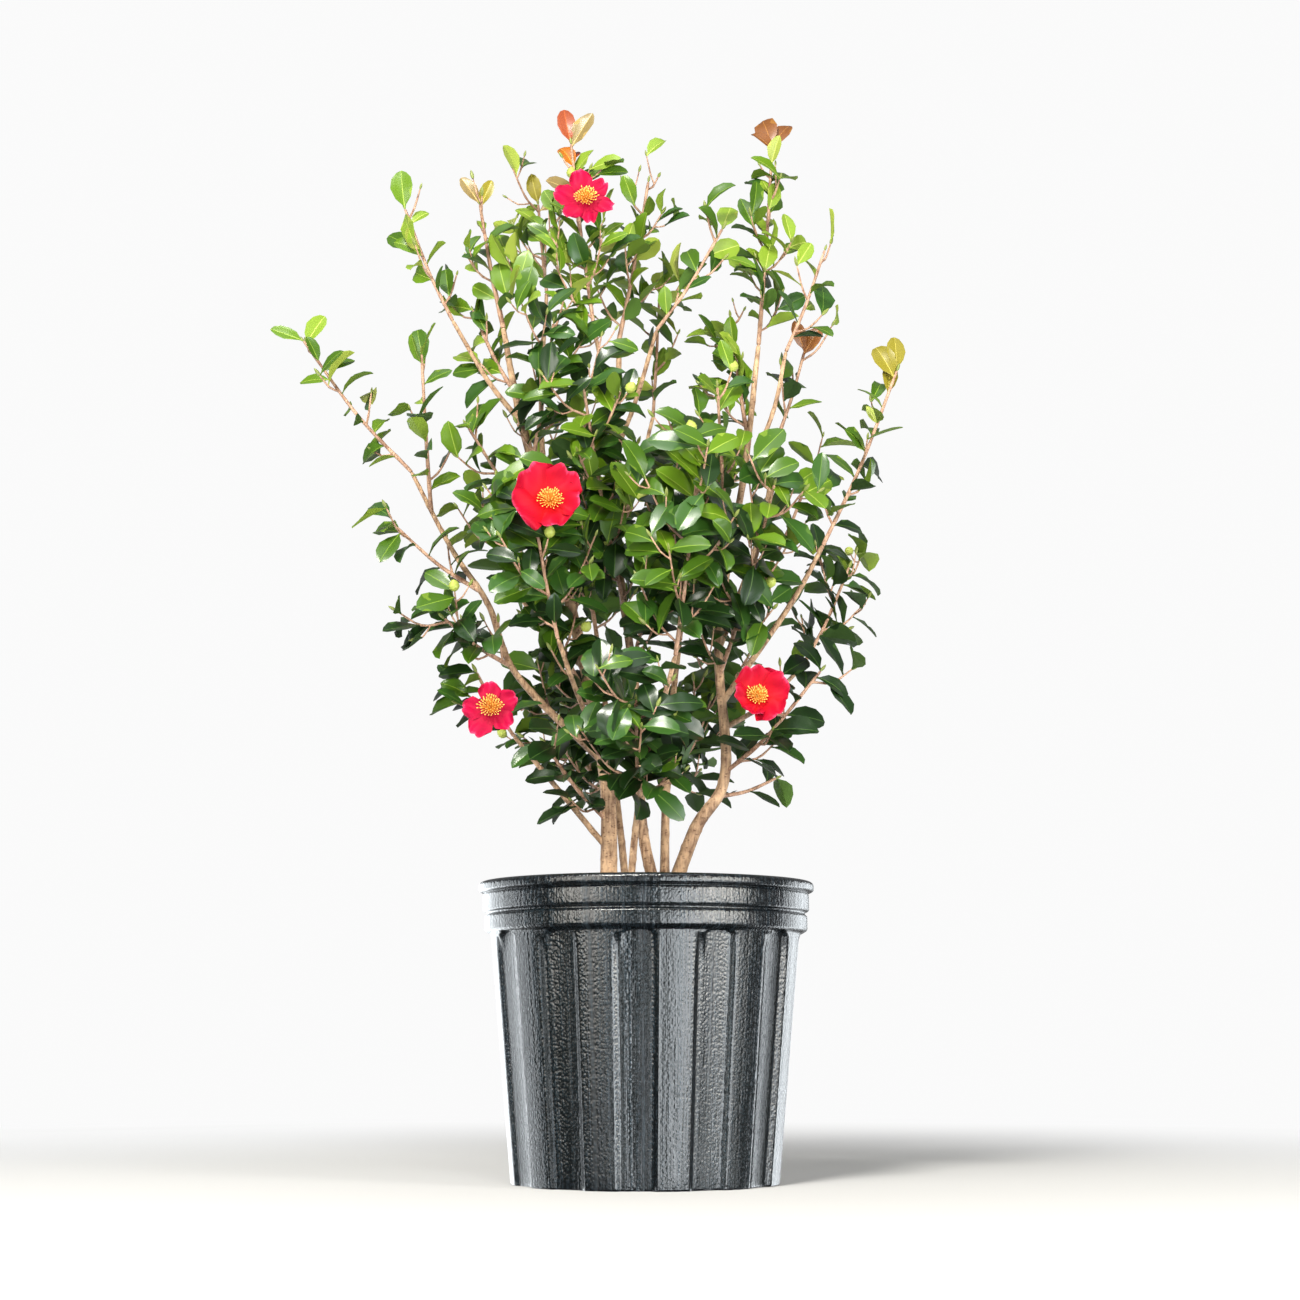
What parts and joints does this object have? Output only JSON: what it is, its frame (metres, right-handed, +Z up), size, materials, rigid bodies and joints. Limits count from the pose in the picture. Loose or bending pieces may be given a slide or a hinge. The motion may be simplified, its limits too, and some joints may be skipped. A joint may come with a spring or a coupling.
{
  "type": "potted camellia shrub",
  "caption": "Evergreen camellia shrub with glossy green leaves and crimson-pink flowers on thin upright stems, in a black fluted plastic nursery pot.",
  "frame": {"origin": "middle of the pot's flat underside", "axes": "+Z up along the pot's axis, -Y towards the front that the picture shows, +X to the right of someone who faces that front"},
  "size_m": [0.5574, 0.3775, 0.9381],
  "materials": {
    "pot": "satin",
    "potting_mix": "matte",
    "bark": "matte",
    "leaves": "glossy",
    "petals": "satin",
    "stamens": "matte"
  },
  "bodies": {
    "root": {"pot": "pot", "potting_mix": "potting_mix", "stem_left": "bark", "stem_centre": "bark", "stem_right": "bark", "stem_front": "bark", "stem_back": "bark", "stem_back_left": "bark", "bough_left_arch": "bark", "bough_left_inner": "bark", "bough_left_far": "bark", "bough_left_low": "bark", "bough_centre_left": "bark", "bough_centre_right": "bark", "bough_right_outer": "bark", "bough_right_inner": "bark", "bough_right_far": "bark", "bough_right_back": "bark", "bough_front_left": "bark", "bough_back_right": "bark", "bough_back_left": "bark", "bough_back_top": "bark", "mass_far_left": "leaves", "mass_left_sprig": "leaves", "mass_left_shoot": "leaves", "mass_left_tall": "leaves", "mass_left_upper": "leaves", "mass_top": "leaves", "mass_centre_tall": "leaves", "mass_centre_arch": "leaves", "mass_right_tall": "leaves", "mass_right_pair": "leaves", "mass_right_crown": "leaves", "mass_right_upper": "leaves", "mass_far_right": "leaves", "mass_right_bulge": "leaves", "mass_right_low": "leaves", "mass_right_foot": "leaves", "mass_front_right": "leaves", "mass_front": "leaves", "mass_front_low": "leaves", "mass_front_left": "leaves", "mass_front_upper": "leaves", "mass_centre_inner": "leaves", "mass_right_inner": "leaves", "mass_left_crown": "leaves", "mass_left_arch": "leaves", "mass_left_inner": "leaves", "mass_left_middle_upper": "leaves", "mass_left_middle": "leaves", "mass_left_lower": "leaves", "mass_left_low": "leaves", "mass_left_foot": "leaves", "mass_back": "leaves", "mass_back_left": "leaves", "mass_back_right": "leaves", "mass_back_far_left": "leaves", "mass_back_low": "leaves", "mass_back_low_left": "leaves", "mass_back_top": "leaves"}
  },
  "joints": []
}
